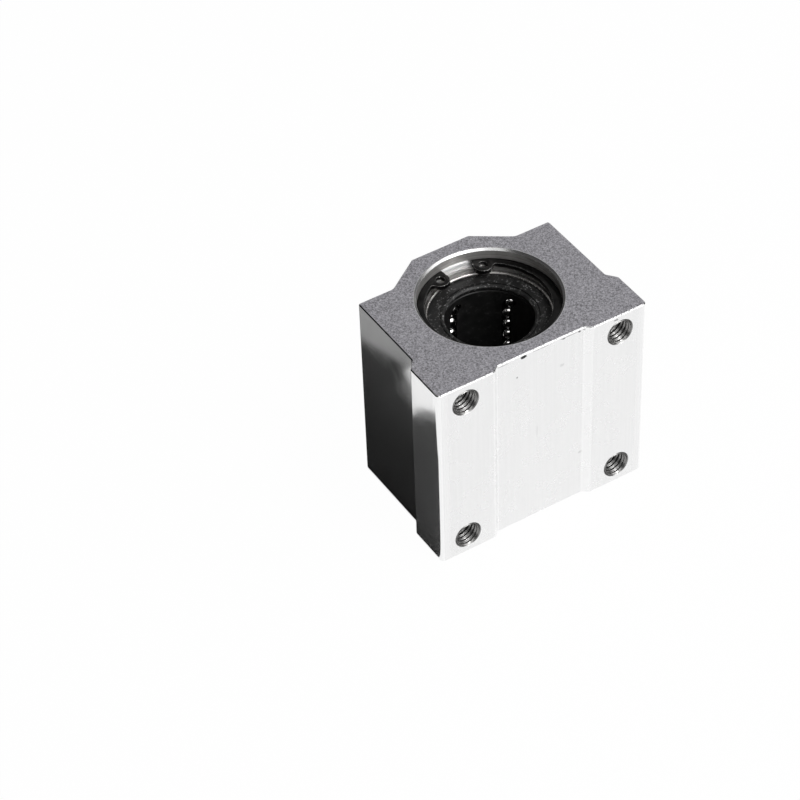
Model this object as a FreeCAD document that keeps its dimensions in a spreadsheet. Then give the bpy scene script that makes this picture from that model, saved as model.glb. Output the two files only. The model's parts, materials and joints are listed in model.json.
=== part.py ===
import FreeCAD, Part
import math
import os
import Sketcher

# Linear bearing block for a round shaft. The bore axis is Z, the origin is on that axis half way
# along the block, the mounting face looks along -Y and the crown along +Y.
document = FreeCAD.newDocument("linear_bearing_block")

# Two lengths closer than this are the same when edges are looked for.
same_place = 0.001

# Driving sizes, in millimetres and degrees.
sizes = {
    # shaft and balls
    "shaft_diameter": 20.0,
    "ball_diameter": 3.175,
    "ball_gap": 0.06,
    "raceway_play": 0.04,
    "channel_play": 0.1,
    "return_play": 0.1,
    "return_lift": 1.275,
    "circuit_count": 5,
    "circuit_angle": 36.0,
    # sleeve of the bearing
    "bearing_length": 42.0,
    "sleeve_wall": 1.45,
    "sleeve_bevel": 0.8,
    "sleeve_lip": 0.9,
    "land_width": 4.4,
    "land_root": 0.25,
    "outer_groove_width": 1.6,
    "outer_groove_depth": 0.75,
    "outer_groove_inset": 5.75,
    # ball cage
    "cage_play": 0.1,
    "cage_end_play": 0.1,
    "cage_end_wall": 0.7,
    "cage_bevel": 0.3,
    "shaft_clearance": 0.4,
    # seals
    "seal_thickness": 1.5,
    "seal_play": 0.05,
    "seal_groove_offset": 1.2,
    "seal_groove_width": 0.3,
    "seal_groove_depth": 0.3,
    "seal_bead_slope": 0.15,
    "seal_bead_drop": 0.05,
    "seal_lip_width": 0.4,
    "seal_lip_drop": 0.35,
    # stop rings inside the sleeve
    "stop_ring_thickness": 0.8,
    "stop_ring_width": 1.3,
    "stop_ring_bite": 0.45,
    "stop_ring_play": 0.02,
    "stop_ring_gap_angle": 14.0,
    # retaining rings of the housing bore
    "clip_thickness": 1.2,
    "clip_groove_play": 0.1,
    "clip_groove_depth": 0.83,
    "clip_play": 0.02,
    "clip_back_width": 3.2,
    "clip_end_width": 2.2,
    "clip_gap_angle": 27.0,
    "clip_lug_diameter": 4.3,
    "clip_lug_hole": 2.2,
    "clip_lug_angle": 45.0,
    "clip_lug_inset": 0.65,
    "clip_root_rounding": 0.9,
    "clip_turn": 85.0,
    # housing
    "bore_play": 0.02,
    "bore_bevel": 0.5,
    "end_inset": 4.0,
    "floor_wall": 3.78,
    "crown_wall": 3.98,
    "crown_width": 14.8,
    "shoulder_drop": 6.0,
    "shoulder_margin": 0.9,
    "flange_height": 10.6,
    "flange_step": 1.9,
    "flange_bevel": 2.4,
    "recess_width": 25.4,
    "recess_depth": 1.2,
    "recess_bevel": 1.4,
    "corner_rounding": 1.0,
    "edge_rounding": 0.6,
    "shoulder_rounding": 2.4,
    "root_rounding": 1.0,
    "end_bevel": 0.25,
    # fixing holes
    "hole_diameter": 5.2,
    "hole_bevel": 0.5,
    "hole_wall": 0.55,
    "hole_edge": 7.0,
    "hole_end": 5.0,
    "thread_diameter": 6.0,
    "thread_depth": 12.0,
    "thread_bevel": 0.4,
}

# Sizes that follow from the driving ones.
derived_sizes = {
    # balls: the chord between neighbours in a turn equals their pitch in the straight rows
    "shaft_radius": "Sizes.shaft_diameter / 2",
    "ball_radius": "Sizes.ball_diameter / 2",
    "ball_pitch": "Sizes.ball_diameter + Sizes.ball_gap",
    "turn_radius": "Derived.ball_pitch / sqrt(2)",
    "channel_radius": "Derived.ball_radius + Sizes.channel_play",
    "loaded_radius": "Derived.shaft_radius + Derived.ball_radius",
    "return_radius": "Derived.loaded_radius + Sizes.return_lift",
    # each circuit lies in a plane parallel to the axis: how far off, and where along it each row is
    "row_offset": "(Derived.return_radius ^ 2 - Derived.loaded_radius ^ 2) / (4 * Derived.turn_radius)"
                  " - Derived.turn_radius",
    "plane_offset": "sqrt(Derived.loaded_radius ^ 2 - Derived.row_offset ^ 2)",
    "row_angle": "acos(Derived.row_offset / Derived.loaded_radius) / 1 deg",
    "turn_offset": "Derived.row_offset + Derived.turn_radius",
    "return_offset": "Derived.row_offset + 2 * Derived.turn_radius",
    # sleeve
    "raceway_radius": "Derived.loaded_radius + Derived.ball_radius + Sizes.raceway_play",
    "relief_radius": "Derived.return_radius + Derived.ball_radius + Sizes.return_play",
    "sleeve_radius": "Derived.relief_radius + Sizes.sleeve_wall",
    "half_bearing": "Sizes.bearing_length / 2",
    "outer_groove_end": "Derived.half_bearing - Sizes.outer_groove_inset",
    # what the sleeve holds, from its ends inwards
    "stop_ring_end": "Derived.half_bearing - Sizes.sleeve_lip",
    "seal_end": "Derived.stop_ring_end - Sizes.stop_ring_thickness",
    "stop_groove_radius": "Derived.relief_radius + Sizes.stop_ring_bite",
    "stop_ring_radius": "Derived.stop_groove_radius - Sizes.stop_ring_play",
    "stop_ring_bore": "Derived.stop_ring_radius - Sizes.stop_ring_width",
    "seal_foot": "Derived.seal_end - Sizes.seal_thickness",
    "seal_radius": "Derived.relief_radius - Sizes.seal_play",
    "half_cage": "Derived.seal_foot - Sizes.cage_end_play",
    "cage_radius": "Derived.relief_radius - Sizes.cage_play",
    "cage_bore": "Derived.shaft_radius + Sizes.shaft_clearance",
    "cage_groove_radius": "Derived.raceway_radius - Sizes.cage_play",
    "cage_groove_width": "Sizes.land_width + 2 * Sizes.cage_play",
    # as many balls in a straight row as the cage has room for
    "row_count": "floor((2 * Derived.half_cage - 2 * (Derived.turn_radius + Derived.channel_radius"
                 " + Sizes.cage_end_wall)) / Derived.ball_pitch)",
    "row_length": "Derived.row_count * Derived.ball_pitch",
    "half_row": "Derived.row_length / 2",
    # housing
    "bore_radius": "Derived.sleeve_radius + Sizes.bore_play",
    "clip_groove_radius": "Derived.bore_radius + Sizes.clip_groove_depth",
    "clip_groove_end": "Derived.half_bearing + Sizes.clip_thickness + Sizes.clip_groove_play",
    "clip_radius": "Derived.clip_groove_radius - Sizes.clip_play",
    "clip_bore": "Derived.clip_radius - (Sizes.clip_back_width + Sizes.clip_end_width) / 2",
    "clip_shift": "(Sizes.clip_back_width - Sizes.clip_end_width) / 2",
    "clip_lug_radius": "Derived.clip_radius - Sizes.clip_lug_inset - Sizes.clip_lug_diameter / 2",
    "half_block": "Derived.half_bearing + Sizes.end_inset",
    "crown_y": "Derived.bore_radius + Sizes.crown_wall",
    "shoulder_y": "Derived.crown_y - Sizes.shoulder_drop",
    "recess_y": "-Derived.bore_radius - Sizes.floor_wall",
    "mount_y": "Derived.recess_y - Sizes.recess_depth",
    "flange_y": "Derived.mount_y + Sizes.flange_height",
    "wall_y": "Derived.flange_y + Sizes.flange_bevel",
    "hole_radius": "Sizes.hole_diameter / 2",
    "hole_x": "Derived.clip_groove_radius + Sizes.hole_wall + Derived.hole_radius",
    "hole_z": "Derived.half_block - Sizes.hole_end",
    "flange_x": "Derived.hole_x + Sizes.hole_edge",
    "wall_x": "Derived.flange_x - Sizes.flange_step",
    "foot_x": "Derived.hole_x - Derived.hole_radius - Sizes.hole_bevel - Sizes.shoulder_margin",
    "crown_x": "Sizes.crown_width / 2",
    "recess_x": "Sizes.recess_width / 2",
    "recess_floor_x": "Derived.recess_x - Sizes.recess_bevel",
}


def fill_sheet():
    sheet = document.addObject("Spreadsheet::Sheet", "Sizes")
    for row, (name, value) in enumerate(sizes.items(), start=1):
        sheet.set(f"A{row}", name)
        sheet.set(f"B{row}", str(value))
        sheet.setAlias(f"B{row}", name)
    document.recompute()
    return sheet


def derive_sizes():
    values = document.addObject("App::VarSet", "Derived")
    for name, formula in derived_sizes.items():
        values.addProperty("App::PropertyFloat", name)
        values.setExpression(name, formula)
    document.recompute()
    return values


sheet = fill_sheet()
derived = derive_sizes()


# Sketching

def new_body(label):
    body = document.addObject("PartDesign::Body", label)
    body.Label = label
    return body


def new_sketch(body, name, plane_role):
    sketch = body.newObject("Sketcher::SketchObject", name)
    plane = next(item for item in body.Origin.OriginFeatures if item.Role == plane_role)
    sketch.AttachmentSupport = [(plane, "")]
    sketch.MapMode = "FlatFace"
    return sketch


def value_of(formula):
    return float(derived.evalExpression(formula))


def tie_point(sketch, curve, end, x_formula, y_formula):
    """Ties one end of a curve to the sketch's origin along both of its axes."""
    for kind, axis, formula in (("DistanceX", -2, x_formula), ("DistanceY", -1, y_formula)):
        if formula == "0":
            sketch.addConstraint(Sketcher.Constraint("PointOnObject", curve, end, axis))
            continue
        if value_of(formula) < 0:
            index = sketch.addConstraint(
                Sketcher.Constraint(kind, curve, end, -1, 1, -value_of(formula)))
            sketch.setExpression(f"Constraints[{index}]", f"-({formula})")
        else:
            index = sketch.addConstraint(
                Sketcher.Constraint(kind, -1, 1, curve, end, value_of(formula)))
            sketch.setExpression(f"Constraints[{index}]", formula)


def draw_outline(sketch, corners):
    """Draws a closed run of straight lines through corners, each a pair of formulas."""
    points = [FreeCAD.Vector(value_of(x), value_of(y), 0) for x, y in corners]
    first = sketch.GeometryCount
    for start, end in zip(points, points[1:] + points[:1]):
        sketch.addGeometry(Part.LineSegment(start, end), False)
    for place, (x_formula, y_formula) in enumerate(corners):
        line = first + place
        following = first + (place + 1) % len(corners)
        sketch.addConstraint(Sketcher.Constraint("Coincident", line, 2, following, 1))
        tie_point(sketch, line, 1, x_formula, y_formula)


def draw_circle(sketch, x_formula, y_formula, radius_formula):
    centre = FreeCAD.Vector(value_of(x_formula), value_of(y_formula), 0)
    upwards = FreeCAD.Vector(0, 0, 1)
    circle = sketch.addGeometry(Part.Circle(centre, upwards, value_of(radius_formula)), False)
    if x_formula == y_formula == "0":
        sketch.addConstraint(Sketcher.Constraint("Coincident", circle, 3, -1, 1))
    else:
        tie_point(sketch, circle, 3, x_formula, y_formula)
    index = sketch.addConstraint(
        Sketcher.Constraint("Radius", circle, value_of(radius_formula)))
    sketch.setExpression(f"Constraints[{index}]", radius_formula)


def draw_key(sketch, radius_formula, width_formula, outer_formula):
    """Draws a key across +X: an arc about the origin within, straight sides and a straight back."""
    radius = value_of(radius_formula)
    half = value_of(width_formula) / 2
    outer = value_of(outer_formula)
    swing = math.asin(half / radius)
    upwards = FreeCAD.Vector(0, 0, 1)
    circle = Part.Circle(FreeCAD.Vector(0, 0, 0), upwards, radius)
    arc = sketch.addGeometry(Part.ArcOfCircle(circle, -swing, swing), False)
    inner_x = radius * math.cos(swing)
    corners = [(inner_x, half), (outer, half), (outer, -half), (inner_x, -half)]
    points = [FreeCAD.Vector(x, y, 0) for x, y in corners]
    top = sketch.addGeometry(Part.LineSegment(points[0], points[1]), False)
    back = sketch.addGeometry(Part.LineSegment(points[1], points[2]), False)
    bottom = sketch.addGeometry(Part.LineSegment(points[2], points[3]), False)
    for constraint in (("Coincident", arc, 3, -1, 1), ("Coincident", arc, 2, top, 1),
                       ("Coincident", top, 2, back, 1), ("Coincident", back, 2, bottom, 1),
                       ("Coincident", bottom, 2, arc, 1), ("Horizontal", top),
                       ("Horizontal", bottom)):
        sketch.addConstraint(Sketcher.Constraint(*constraint))
    index = sketch.addConstraint(Sketcher.Constraint("Radius", arc, radius))
    sketch.setExpression(f"Constraints[{index}]", radius_formula)
    tie_point(sketch, back, 1, outer_formula, f"({width_formula}) / 2")
    tie_point(sketch, back, 2, outer_formula, f"-({width_formula}) / 2")


# Features

def pad(body, name, sketch, length_formula, symmetric=False):
    feature = body.newObject("PartDesign::Pad", name)
    feature.Profile = sketch
    feature.SideType = "Symmetric" if symmetric else "One side"
    feature.setExpression("Length", length_formula)
    document.recompute()
    return feature


def pocket(body, name, sketch, length_formula=None):
    """Cuts to a depth, or with no depth right through on both sides of the sketch."""
    feature = body.newObject("PartDesign::Pocket", name)
    feature.Profile = sketch
    if length_formula:
        feature.Type = "Length"
        feature.setExpression("Length", length_formula)
    else:
        feature.SideType = "Symmetric"
        feature.Type = "ThroughAll"
    document.recompute()
    return feature


def turn(body, name, kind, sketch):
    """Turns a sketch of radius across and height up through a whole turn about its vertical axis."""
    feature = body.newObject(f"PartDesign::{kind}", name)
    feature.Profile = sketch
    feature.ReferenceAxis = (sketch, ["V_Axis"])
    feature.Angle = 360
    document.recompute()
    return feature


def repeat_round(body, name, feature):
    """Repeats a feature once for each ball circuit round the bore axis."""
    axis = next(item for item in body.Origin.OriginFeatures if item.Role == "Z_Axis")
    pattern = body.newObject("PartDesign::PolarPattern", name)
    pattern.Originals = [feature]
    pattern.Axis = (axis, [""])
    pattern.Angle = 360
    pattern.setExpression("Occurrences", "Sizes.circuit_count")
    body.Tip = pattern
    document.recompute()
    return pattern


def dress_edges(body, name, kind, size_formula, wanted):
    """Rounds or bevels the edges of the body's last feature that the test picks out."""
    base = body.Tip
    names = [f"Edge{index}" for index, edge in enumerate(base.Shape.Edges, start=1) if wanted(edge)]
    feature = body.newObject(f"PartDesign::{kind}", name)
    feature.Base = (base, names)
    feature.setExpression("Radius" if kind == "Fillet" else "Size", size_formula)
    body.Tip = feature
    document.recompute()
    return feature


def near(first, second):
    return abs(first - second) < same_place


def upright_at(corners):
    """Picks straight edges along Z that stand on one of the corners or on its mirror image."""
    places = [(value_of(x), value_of(y)) for x, y in corners]

    def wanted(edge):
        start, end = edge.Vertexes[0].Point, edge.Vertexes[-1].Point
        if not (near(start.x, end.x) and near(start.y, end.y)):
            return False
        return any(near(abs(start.x), x) and near(start.y, y) for x, y in places)
    return wanted


def at_lug_root(edge):
    """Picks the edges along Z where a retaining ring's bore runs into the far side of a lug."""
    start, end = edge.Vertexes[0].Point, edge.Vertexes[-1].Point
    across = math.hypot(start.x - derived.clip_shift, start.y)
    swing = math.degrees(math.atan2(abs(start.y), start.x))
    return (near(start.x, end.x) and near(start.y, end.y) and near(across, derived.clip_bore)
            and swing > sheet.clip_lug_angle / 2)


def in_end_faces(half_length):
    """Picks the edges that lie in either end face."""
    def wanted(edge):
        return all(near(abs(vertex.Point.z), half_length) for vertex in edge.Vertexes)
    return wanted


def round_mouths(radius, axis, places):
    """Picks full circles of one radius whose centres lie at the given places along an axis."""
    def wanted(edge):
        curve = edge.Curve
        if not isinstance(curve, Part.Circle) or not near(curve.Radius, radius):
            return False
        return any(near(getattr(curve.Center, axis), place) for place in places)
    return wanted


# Housing

def build_housing():
    """One extruded block: a flanged base with a shallow recess, straight walls, shoulders, a crown."""
    body = new_body("housing_block")
    right = [
        ("Derived.recess_floor_x", "Derived.recess_y"),
        ("Derived.recess_x", "Derived.mount_y"),
        ("Derived.flange_x", "Derived.mount_y"),
        ("Derived.flange_x", "Derived.flange_y"),
        ("Derived.wall_x", "Derived.wall_y"),
        ("Derived.wall_x", "Derived.shoulder_y"),
        ("Derived.foot_x", "Derived.shoulder_y"),
        ("Derived.crown_x", "Derived.crown_y"),
    ]
    left = [(f"-{x}", y) for x, y in reversed(right)]
    outline = new_sketch(body, "block_outline", "XY_Plane")
    draw_outline(outline, right + left)
    pad(body, "block_extrusion", outline, "2 * Derived.half_block", symmetric=True)
    dress_edges(body, "flange_corners", "Fillet", "Sizes.corner_rounding", upright_at([right[2]]))
    dress_edges(body, "outer_corners", "Fillet", "Sizes.edge_rounding",
                upright_at([right[3], right[5], right[7]]))
    dress_edges(body, "flange_roots", "Fillet", "Sizes.root_rounding", upright_at([right[4]]))
    dress_edges(body, "shoulder_roots", "Fillet", "Sizes.shoulder_rounding", upright_at([right[6]]))
    dress_edges(body, "end_bevels", "Chamfer", "Sizes.end_bevel", in_end_faces(derived.half_block))

    bore = new_sketch(body, "bore_circle", "XY_Plane")
    draw_circle(bore, "0", "0", "Derived.bore_radius")
    pocket(body, "bearing_bore", bore)
    for side, name in ((1, "upper"), (-1, "lower")):
        inner = f"{side} * Derived.half_bearing"
        outer = f"{side} * Derived.clip_groove_end"
        section = new_sketch(body, f"{name}_groove_section", "XZ_Plane")
        draw_outline(section, [("Derived.shaft_radius", inner), ("Derived.clip_groove_radius", inner),
                               ("Derived.clip_groove_radius", outer),
                               ("Derived.shaft_radius", outer)])
        turn(body, f"{name}_clip_groove", "Groove", section)
    dress_edges(body, "bore_bevels", "Chamfer", "Sizes.bore_bevel",
                round_mouths(derived.bore_radius, "z", [derived.half_block, -derived.half_block]))

    # Four holes from the shoulders through to the mounting face, opened out there for the thread.
    holes = new_sketch(body, "hole_circles", "XZ_Plane")
    threads = new_sketch(body, "thread_circles", "XZ_Plane")
    threads.setExpression("AttachmentOffset.Base.z", "-Derived.mount_y")
    for x_sign in ("", "-"):
        for z_sign in ("", "-"):
            place = (f"{x_sign}Derived.hole_x", f"{z_sign}Derived.hole_z")
            draw_circle(holes, *place, "Derived.hole_radius")
            draw_circle(threads, *place, "Sizes.thread_diameter / 2")
    pocket(body, "through_holes", holes)
    pocket(body, "thread_bores", threads, "Sizes.thread_depth")
    dress_edges(body, "shoulder_mouths", "Chamfer", "Sizes.hole_bevel",
                round_mouths(derived.hole_radius, "y", [derived.shoulder_y]))
    dress_edges(body, "thread_mouths", "Chamfer", "Sizes.thread_bevel",
                round_mouths(sheet.thread_diameter / 2, "y", [derived.mount_y]))
    return body


def build_clip(label, side):
    """Retaining ring with two eared ends. Its gap is drawn towards +X and turned into place."""
    body = new_body(label)
    ring = new_sketch(body, "ring_circles", "XY_Plane")
    draw_circle(ring, "0", "0", "Derived.clip_radius")
    draw_circle(ring, "Derived.clip_shift", "0", "Derived.clip_bore")
    pad(body, "ring_blank", ring, "Sizes.clip_thickness")
    gap = new_sketch(body, "gap_wedge", "XY_Plane")
    reach = "2 * Derived.clip_radius"
    spread = f"{reach} * tan(Sizes.clip_gap_angle / 2)"
    draw_outline(gap, [("0", "0"), (reach, f"-{spread}"), (reach, spread)])
    pocket(body, "ring_gap", gap)
    lugs = new_sketch(body, "lug_circles", "XY_Plane")
    lug_holes = new_sketch(body, "lug_hole_circles", "XY_Plane")
    for sign in ("", "-"):
        place = ("Derived.clip_lug_radius * cos(Sizes.clip_lug_angle / 2)",
                 f"{sign}Derived.clip_lug_radius * sin(Sizes.clip_lug_angle / 2)")
        draw_circle(lugs, *place, "Sizes.clip_lug_diameter / 2")
        draw_circle(lug_holes, *place, "Sizes.clip_lug_hole / 2")
    pad(body, "lugs", lugs, "Sizes.clip_thickness")
    dress_edges(body, "lug_roots", "Fillet", "Sizes.clip_root_rounding", at_lug_root)
    pocket(body, "lug_holes", lug_holes)
    foot = "Derived.half_bearing" if side > 0 else "-Derived.half_bearing - Sizes.clip_thickness"
    body.Placement.Rotation = FreeCAD.Rotation(FreeCAD.Vector(0, 0, 1), sheet.clip_turn)
    body.setExpression("Placement.Rotation.Angle", "Sizes.clip_turn")
    body.setExpression("Placement.Base.z", foot)
    return body


# Bearing

def build_sleeve():
    """Hardened sleeve: two outer ring grooves, a stop ring groove near each end, five raceway lands."""
    body = new_body("bearing_sleeve")
    groove_floor = "Derived.sleeve_radius - Sizes.outer_groove_depth"
    groove_start = "Derived.outer_groove_end - Sizes.outer_groove_width"
    upper = [
        ("Derived.sleeve_radius", groove_start),
        (groove_floor, groove_start),
        (groove_floor, "Derived.outer_groove_end"),
        ("Derived.sleeve_radius", "Derived.outer_groove_end"),
        ("Derived.sleeve_radius", "Derived.half_bearing - Sizes.sleeve_bevel"),
        ("Derived.sleeve_radius - Sizes.sleeve_bevel", "Derived.half_bearing"),
        ("Derived.relief_radius", "Derived.half_bearing"),
        ("Derived.relief_radius", "Derived.stop_ring_end"),
        ("Derived.stop_groove_radius", "Derived.stop_ring_end"),
        ("Derived.stop_groove_radius", "Derived.seal_end"),
        ("Derived.relief_radius", "Derived.seal_end"),
    ]
    lower = [(x, f"-({y})") for x, y in reversed(upper)]
    section = new_sketch(body, "sleeve_section", "XZ_Plane")
    draw_outline(section, upper + lower)
    turn(body, "sleeve_turning", "Revolution", section)
    land = new_sketch(body, "land_section", "XY_Plane")
    draw_key(land, "Derived.raceway_radius", "Sizes.land_width",
             "Derived.relief_radius + Sizes.land_root")
    raceway = pad(body, "raceway_land", land, "Derived.row_length", symmetric=True)
    repeat_round(body, "raceway_lands", raceway)
    body.Placement.Rotation = FreeCAD.Rotation(FreeCAD.Vector(0, 0, 1), sheet.circuit_angle)
    body.setExpression("Placement.Rotation.Angle", "Sizes.circuit_angle")
    return body


def turn_circuit(item, circuit):
    """Turns what is drawn in a plane across Y to its circuit's place round the bore axis."""
    step = f"{circuit} * 360 / Sizes.circuit_count"
    angle = f"Sizes.circuit_angle + {step} - Derived.row_angle"
    item.Placement.Rotation = FreeCAD.Rotation(FreeCAD.Vector(0, 0, 1), value_of(angle))
    item.setExpression("Placement.Rotation.Angle", angle)


def build_channel(circuit):
    """Closed track for one circuit of balls: two straight bores joined by two half turns."""
    pieces = []
    for row in ("row_offset", "return_offset"):
        bore = document.addObject("Part::Cylinder", f"channel_{row}")
        bore.setExpression("Radius", "Derived.channel_radius")
        bore.setExpression("Height", "Derived.row_length")
        bore.setExpression("Placement.Base.x", f"Derived.{row}")
        bore.setExpression("Placement.Base.y", "Derived.plane_offset")
        bore.setExpression("Placement.Base.z", "-Derived.half_row")
        pieces.append(bore)
    for side in (1, -1):
        bend = document.addObject("Part::Torus", "channel_turn")
        bend.setExpression("Radius1", "Derived.turn_radius")
        bend.setExpression("Radius2", "Derived.channel_radius")
        bend.Angle3 = 180
        bend.Placement.Rotation = FreeCAD.Rotation(FreeCAD.Vector(1, 0, 0), side * 90)
        bend.setExpression("Placement.Base.x", "Derived.turn_offset")
        bend.setExpression("Placement.Base.y", "Derived.plane_offset")
        bend.setExpression("Placement.Base.z", f"{side} * Derived.half_row")
        pieces.append(bend)
    channel = document.addObject("Part::MultiFuse", f"ball_channel_{circuit + 1}")
    channel.Shapes = pieces
    turn_circuit(channel, circuit)
    return channel


def build_cage():
    """Moulded cage: a tube grooved for the raceway lands, with a closed track cut for each circuit."""
    blank = new_body("cage_blank")
    bevel = "Sizes.cage_bevel"
    upper = [
        ("Derived.cage_radius", f"Derived.half_cage - {bevel}"),
        (f"Derived.cage_radius - {bevel}", "Derived.half_cage"),
        (f"Derived.cage_bore + {bevel}", "Derived.half_cage"),
        ("Derived.cage_bore", f"Derived.half_cage - {bevel}"),
    ]
    lower = [(x, f"-({y})") for x, y in reversed(upper)]
    section = new_sketch(blank, "cage_section", "XZ_Plane")
    draw_outline(section, upper + lower)
    turn(blank, "cage_tube", "Revolution", section)
    key = new_sketch(blank, "land_groove_section", "XY_Plane")
    draw_key(key, "Derived.cage_groove_radius", "Derived.cage_groove_width", "Derived.sleeve_radius")
    groove = pocket(blank, "land_groove", key)
    repeat_round(blank, "land_grooves", groove)
    blank.Placement.Rotation = FreeCAD.Rotation(FreeCAD.Vector(0, 0, 1), sheet.circuit_angle)
    blank.setExpression("Placement.Rotation.Angle", "Sizes.circuit_angle")

    channels = document.addObject("Part::Compound", "ball_channels")
    channels.Links = [build_channel(circuit) for circuit in range(int(sheet.circuit_count))]
    cage = document.addObject("Part::Cut", "ball_cage")
    cage.Label = "ball_cage"
    cage.Base = blank
    cage.Tool = channels
    return cage


def build_seal(label, side):
    """Wiper seal: a flat ring with a shallow groove, a bead and a lip that meets the shaft."""
    body = new_body(label)
    groove_outer = "Derived.shaft_radius + Sizes.seal_groove_offset"
    groove_inner = f"{groove_outer} - Sizes.seal_groove_width"
    bead = "Derived.shaft_radius + Sizes.seal_lip_width"
    corners = [
        ("Derived.seal_radius", "0"),
        ("Derived.seal_radius", "Sizes.seal_thickness"),
        (groove_outer, "Sizes.seal_thickness"),
        (groove_outer, "Sizes.seal_thickness - Sizes.seal_groove_depth"),
        (groove_inner, "Sizes.seal_thickness - Sizes.seal_groove_depth"),
        (f"{groove_inner} - Sizes.seal_bead_slope", "Sizes.seal_thickness - Sizes.seal_bead_drop"),
        (bead, "Sizes.seal_thickness - Sizes.seal_bead_drop"),
        ("Derived.shaft_radius", "Sizes.seal_thickness - Sizes.seal_lip_drop"),
        ("Derived.shaft_radius", "Sizes.seal_thickness / 2"),
        (bead, "0"),
    ]
    section = new_sketch(body, "seal_section", "XZ_Plane")
    draw_outline(section, corners)
    turn(body, "seal_turning", "Revolution", section)
    if side < 0:
        body.Placement.Rotation = FreeCAD.Rotation(FreeCAD.Vector(1, 0, 0), 180)
    body.setExpression("Placement.Base.z", f"{side} * Derived.seal_foot")
    return body


def build_stop_ring(label, side):
    """Flat spring ring with a narrow gap, sprung into the groove just inside the sleeve's end."""
    body = new_body(label)
    circles = new_sketch(body, "ring_circles", "XY_Plane")
    draw_circle(circles, "0", "0", "Derived.stop_ring_radius")
    draw_circle(circles, "0", "0", "Derived.stop_ring_bore")
    pad(body, "ring_blank", circles, "Sizes.stop_ring_thickness")
    gap = new_sketch(body, "gap_wedge", "XY_Plane")
    reach = "2 * Derived.stop_ring_radius"
    spread = f"{reach} * tan(Sizes.stop_ring_gap_angle / 2)"
    draw_outline(gap, [("0", "0"), (reach, f"-{spread}"), (reach, spread)])
    pocket(body, "ring_gap", gap)
    foot = "Derived.seal_end" if side > 0 else "-Derived.stop_ring_end"
    body.Placement.Rotation = FreeCAD.Rotation(FreeCAD.Vector(0, 0, 1), -sheet.clip_turn)
    body.setExpression("Placement.Rotation.Angle", "-Sizes.clip_turn")
    body.setExpression("Placement.Base.z", foot)
    return body


# Balls

def build_balls(label, circuit, places):
    """One group of balls of a circuit that moves as one. Places are x and z formulas in its plane."""
    balls = []
    for number, (x_formula, z_formula) in enumerate(places, start=1):
        ball = document.addObject("Part::Sphere", f"{label}_ball_{number}")
        ball.setExpression("Radius", "Derived.ball_radius")
        ball.setExpression("Placement.Base.x", x_formula)
        ball.setExpression("Placement.Base.y", "Derived.plane_offset")
        ball.setExpression("Placement.Base.z", z_formula)
        balls.append(ball)
    group = document.addObject("Part::Compound", label)
    group.Label = label
    group.Links = balls
    turn_circuit(group, circuit)
    return group


def build_circuit(circuit):
    """Loaded row on the shaft, return row behind the cage, and two balls in each turn."""
    number = circuit + 1
    heights = [f"({index} + 0.5) * Derived.ball_pitch - Derived.half_row"
               for index in range(int(derived.row_count))]
    loaded = [("Derived.row_offset", height) for height in heights]
    returning = [("Derived.return_offset", height) for height in heights]
    # The two balls of a turn stand an eighth of a turn either side of its top.
    sides = [f"Derived.turn_offset {sign} Derived.ball_pitch / 2" for sign in ("-", "+")]
    upper = [(side, "Derived.half_row + Derived.ball_pitch / 2") for side in sides]
    lower = [(side, "-Derived.half_row - Derived.ball_pitch / 2") for side in sides]
    return [build_balls(f"loaded_balls_{number}", circuit, loaded),
            build_balls(f"return_balls_{number}", circuit, returning),
            build_balls(f"upper_turn_balls_{number}", circuit, upper),
            build_balls(f"lower_turn_balls_{number}", circuit, lower)]


# Check and export

def check_document():
    for item in document.Objects:
        if "Invalid" in item.State or "Error" in item.State:
            raise RuntimeError(f"{item.Label} failed: {item.State}")


def export(sub_parts):
    os.makedirs("parts", exist_ok=True)
    for item in sub_parts:
        if item.Shape.isNull() or not item.Shape.isValid():
            raise RuntimeError(f"{item.Label} has no valid shape")
    for item in sub_parts:
        item.Shape.exportStep(f"parts/{item.Label}.step")
        print(item.Label, len(item.Shape.Solids), "solids", round(item.Shape.Volume, 2), "mm3")


sub_parts = [
    build_housing(),
    build_clip("upper_retaining_ring", 1),
    build_clip("lower_retaining_ring", -1),
    build_sleeve(),
    build_cage(),
    build_seal("upper_seal", 1),
    build_seal("lower_seal", -1),
    build_stop_ring("upper_stop_ring", 1),
    build_stop_ring("lower_stop_ring", -1),
]
for circuit in range(int(sheet.circuit_count)):
    sub_parts += build_circuit(circuit)
document.recompute()
check_document()
export(sub_parts)
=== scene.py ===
import json
import math

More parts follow.
